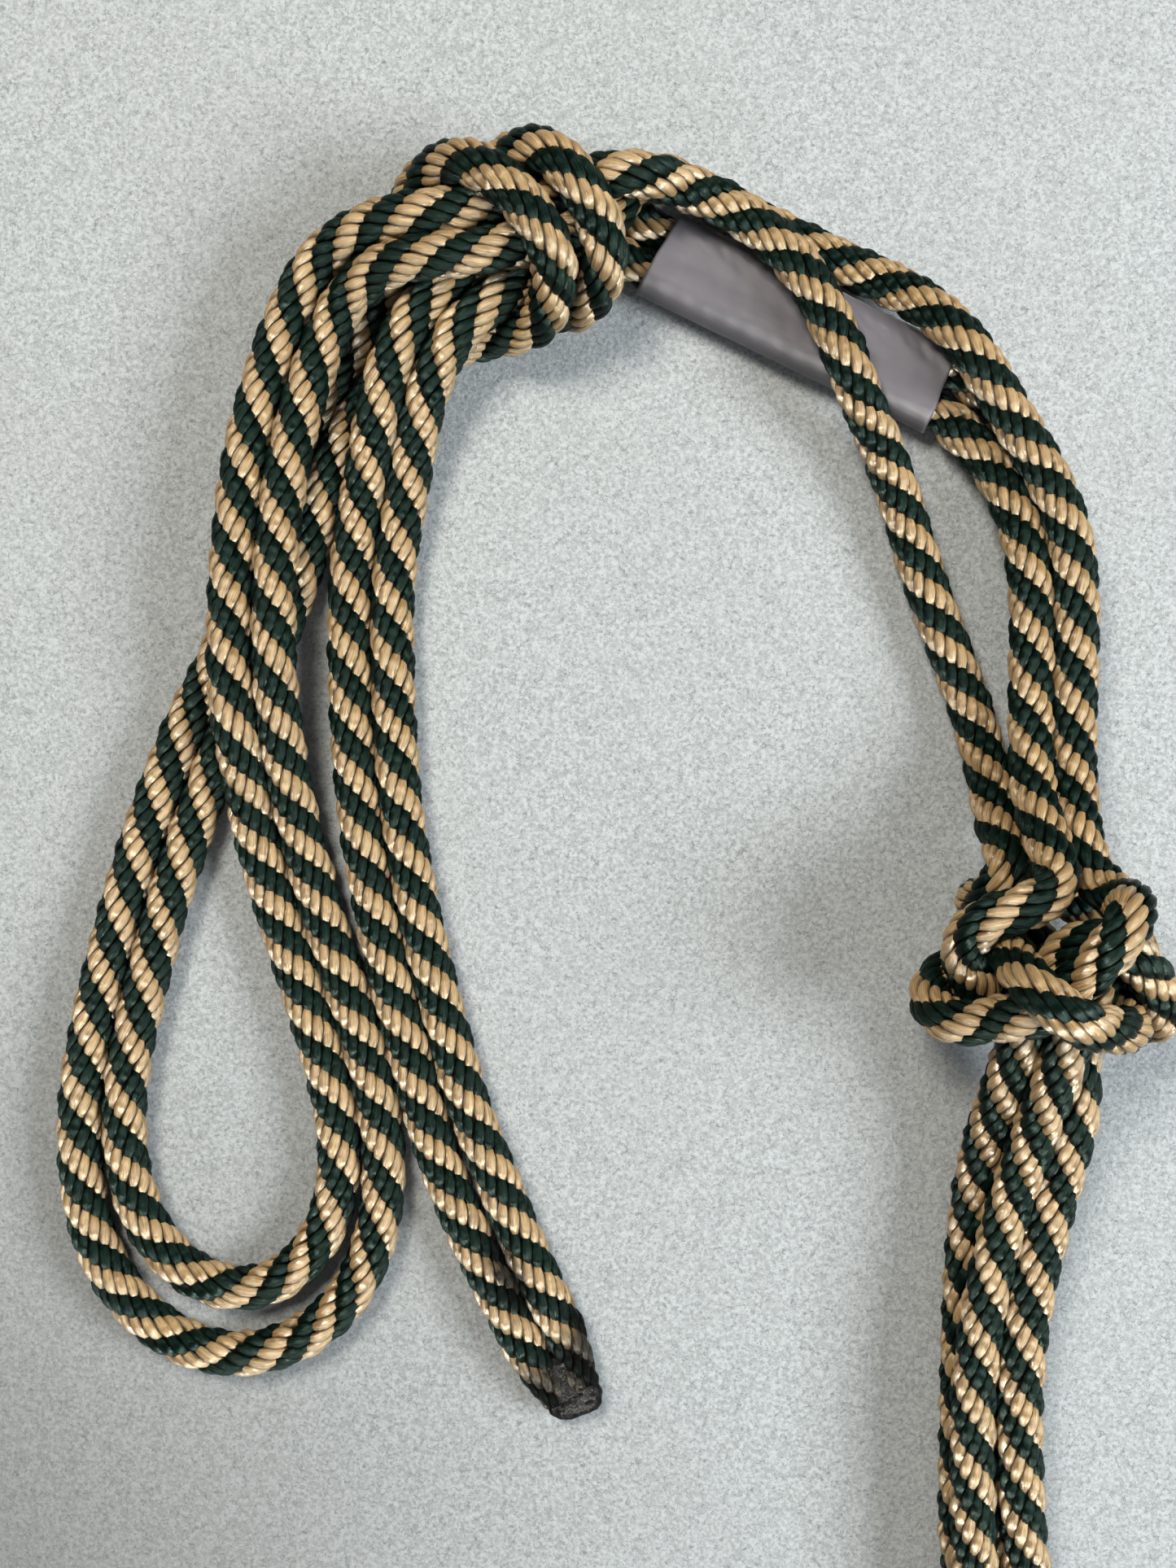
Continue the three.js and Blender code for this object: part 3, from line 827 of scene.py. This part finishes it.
def fused_tip():
    """The melted end: two lobes that run together into one flat blunt wedge."""
    side = unit(np.cross([0, 0, 1.0], tip_aim))
    if side @ across < 0:
        side = -side
    rows = np.array([row for i in range(TIP_RINGS) for row in tip_ring(i / (TIP_RINGS - 1), side)])
    first = rows[:TIP_SIDES, :3].mean(0)
    last = rows[-TIP_SIDES:, :3].mean(0) + tip_aim * TIP_BULGE
    rows = np.vstack([rows, [*first, TIP_FROM, 0], [*last, TIP_END, 0]])
    obj = build_mesh("tip_melted", rows[:, :3], closed_tube(TIP_RINGS, TIP_SIDES),
                     {"su": rows[:, 3], "sv": rows[:, 4]}, (tip_material(),))
    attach(obj, "tail_lower")
    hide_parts("tail_fused_tip")


fused_tip()


# ---------------------------------------------------------------- floor, light, camera; metres and watts
FLOOR_REACH = 3.0
FLOOR_RISE = 0.0002    # how far the rope sinks into the felt
WORLD_COLOUR = (0.86, 0.92, 1.0, 1)
WORLD_STRENGTH = 0.20
# Straight down, a little towards the crown knot, near enough for the knots to stand up
CAMERA_AT = (-0.0033, 0.0259, 0.3201)
CAMERA_LENS = 38.1
CAMERA_SENSOR = 36
CAMERA_NEAR = 0.01


def staged_floor(z):
    corners = ((-1, -1), (1, -1), (1, 1), (-1, 1))
    mesh = bpy.data.meshes.new("floor")
    mesh.from_pydata([(x * FLOOR_REACH, y * FLOOR_REACH, z) for x, y in corners], [], [(0, 1, 2, 3)])
    mesh.materials.append(felt_material())
    obj = bpy.data.objects.new("floor", mesh)
    bpy.context.scene.collection.objects.link(obj)


def soft_world():
    world = bpy.data.worlds.new("soft_room")
    bpy.context.scene.world = world
    world.use_nodes = True
    background = world.node_tree.nodes["Background"]
    background.inputs["Color"].default_value = WORLD_COLOUR
    background.inputs["Strength"].default_value = WORLD_STRENGTH


def area(name, place, target, wide, power, colour):
    lamp = bpy.data.lights.new(name, "AREA")
    lamp.size = wide
    lamp.energy = power
    lamp.color = colour
    obj = bpy.data.objects.new(name, lamp)
    bpy.context.scene.collection.objects.link(obj)
    obj.location = place
    obj.rotation_mode = "QUATERNION"
    aim = Vector([t - p for t, p in zip(target, place)])
    obj.rotation_quaternion = aim.to_track_quat("-Z", "Y")
    return obj


def camera():
    data = bpy.data.cameras.new("camera")
    data.sensor_width = CAMERA_SENSOR
    data.lens = CAMERA_LENS
    data.clip_start = CAMERA_NEAR
    obj = bpy.data.objects.new("camera", data)
    bpy.context.scene.collection.objects.link(obj)
    obj.location = CAMERA_AT
    bpy.context.scene.camera = obj


lo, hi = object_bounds()
centre = (lo + hi) / 2
staged_floor(lo.z + FLOOR_RISE)
soft_world()
area("window", (0.80, -0.12, 0.62), centre, 0.42, 17.0, (0.94, 0.98, 1.0))
area("lamp", (-0.32, 0.48, 0.95), centre, 0.34, 15.0, (1.0, 0.93, 0.82))
# this one is only for the stitches' highlights
glint = area("glint", (0.10, -0.70, 0.62), centre, 0.20, 38.0, (1.0, 0.98, 0.94))
glint.visible_diffuse = False
camera()
bpy.context.scene.view_settings.view_transform = "Standard"
